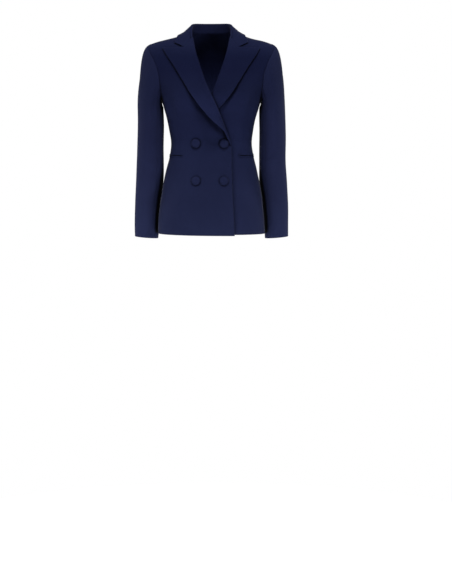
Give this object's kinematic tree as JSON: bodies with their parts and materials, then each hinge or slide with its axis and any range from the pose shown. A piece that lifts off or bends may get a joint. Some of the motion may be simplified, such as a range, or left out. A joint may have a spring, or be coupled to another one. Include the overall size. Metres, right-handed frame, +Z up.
{
  "type": "double breasted blazer",
  "caption": "Double-breasted blazer in its worn shape: peak lapels, notched collar, two-piece set-in sleeves, jetted pockets and covered buttons; hollow, with neck, cuffs and hem open.",
  "frame": {"origin": "middle of the neck, level with the inner ends of the shoulder seams, where the blazer is held when it is worn", "axes": "+X to the wearer's left, +Y to the wearer's back, +Z up; the front faces -Y"},
  "size_m": [0.4788, 0.264, 0.6642],
  "materials": {
    "body_cloth": "matt navy crepe-like suiting",
    "sleeve_cloth": "matt navy crepe-like suiting",
    "button_cloth": "matt navy cloth over a rigid button"
  },
  "bodies": {
    "root": {"front_right": "body_cloth", "front_left": "body_cloth", "side_right": "body_cloth", "side_left": "body_cloth", "back_right": "body_cloth", "back_left": "body_cloth", "sleeve_top_right": "sleeve_cloth", "sleeve_top_left": "sleeve_cloth", "sleeve_under_right": "sleeve_cloth", "sleeve_under_left": "sleeve_cloth", "lapel_right": "body_cloth", "lapel_left": "body_cloth", "collar": "body_cloth", "pocket_right": "body_cloth", "pocket_left": "body_cloth", "button_upper_inner": "button_cloth", "button_upper_edge": "button_cloth", "button_lower_inner": "button_cloth", "button_lower_edge": "button_cloth"}
  },
  "joints": []
}
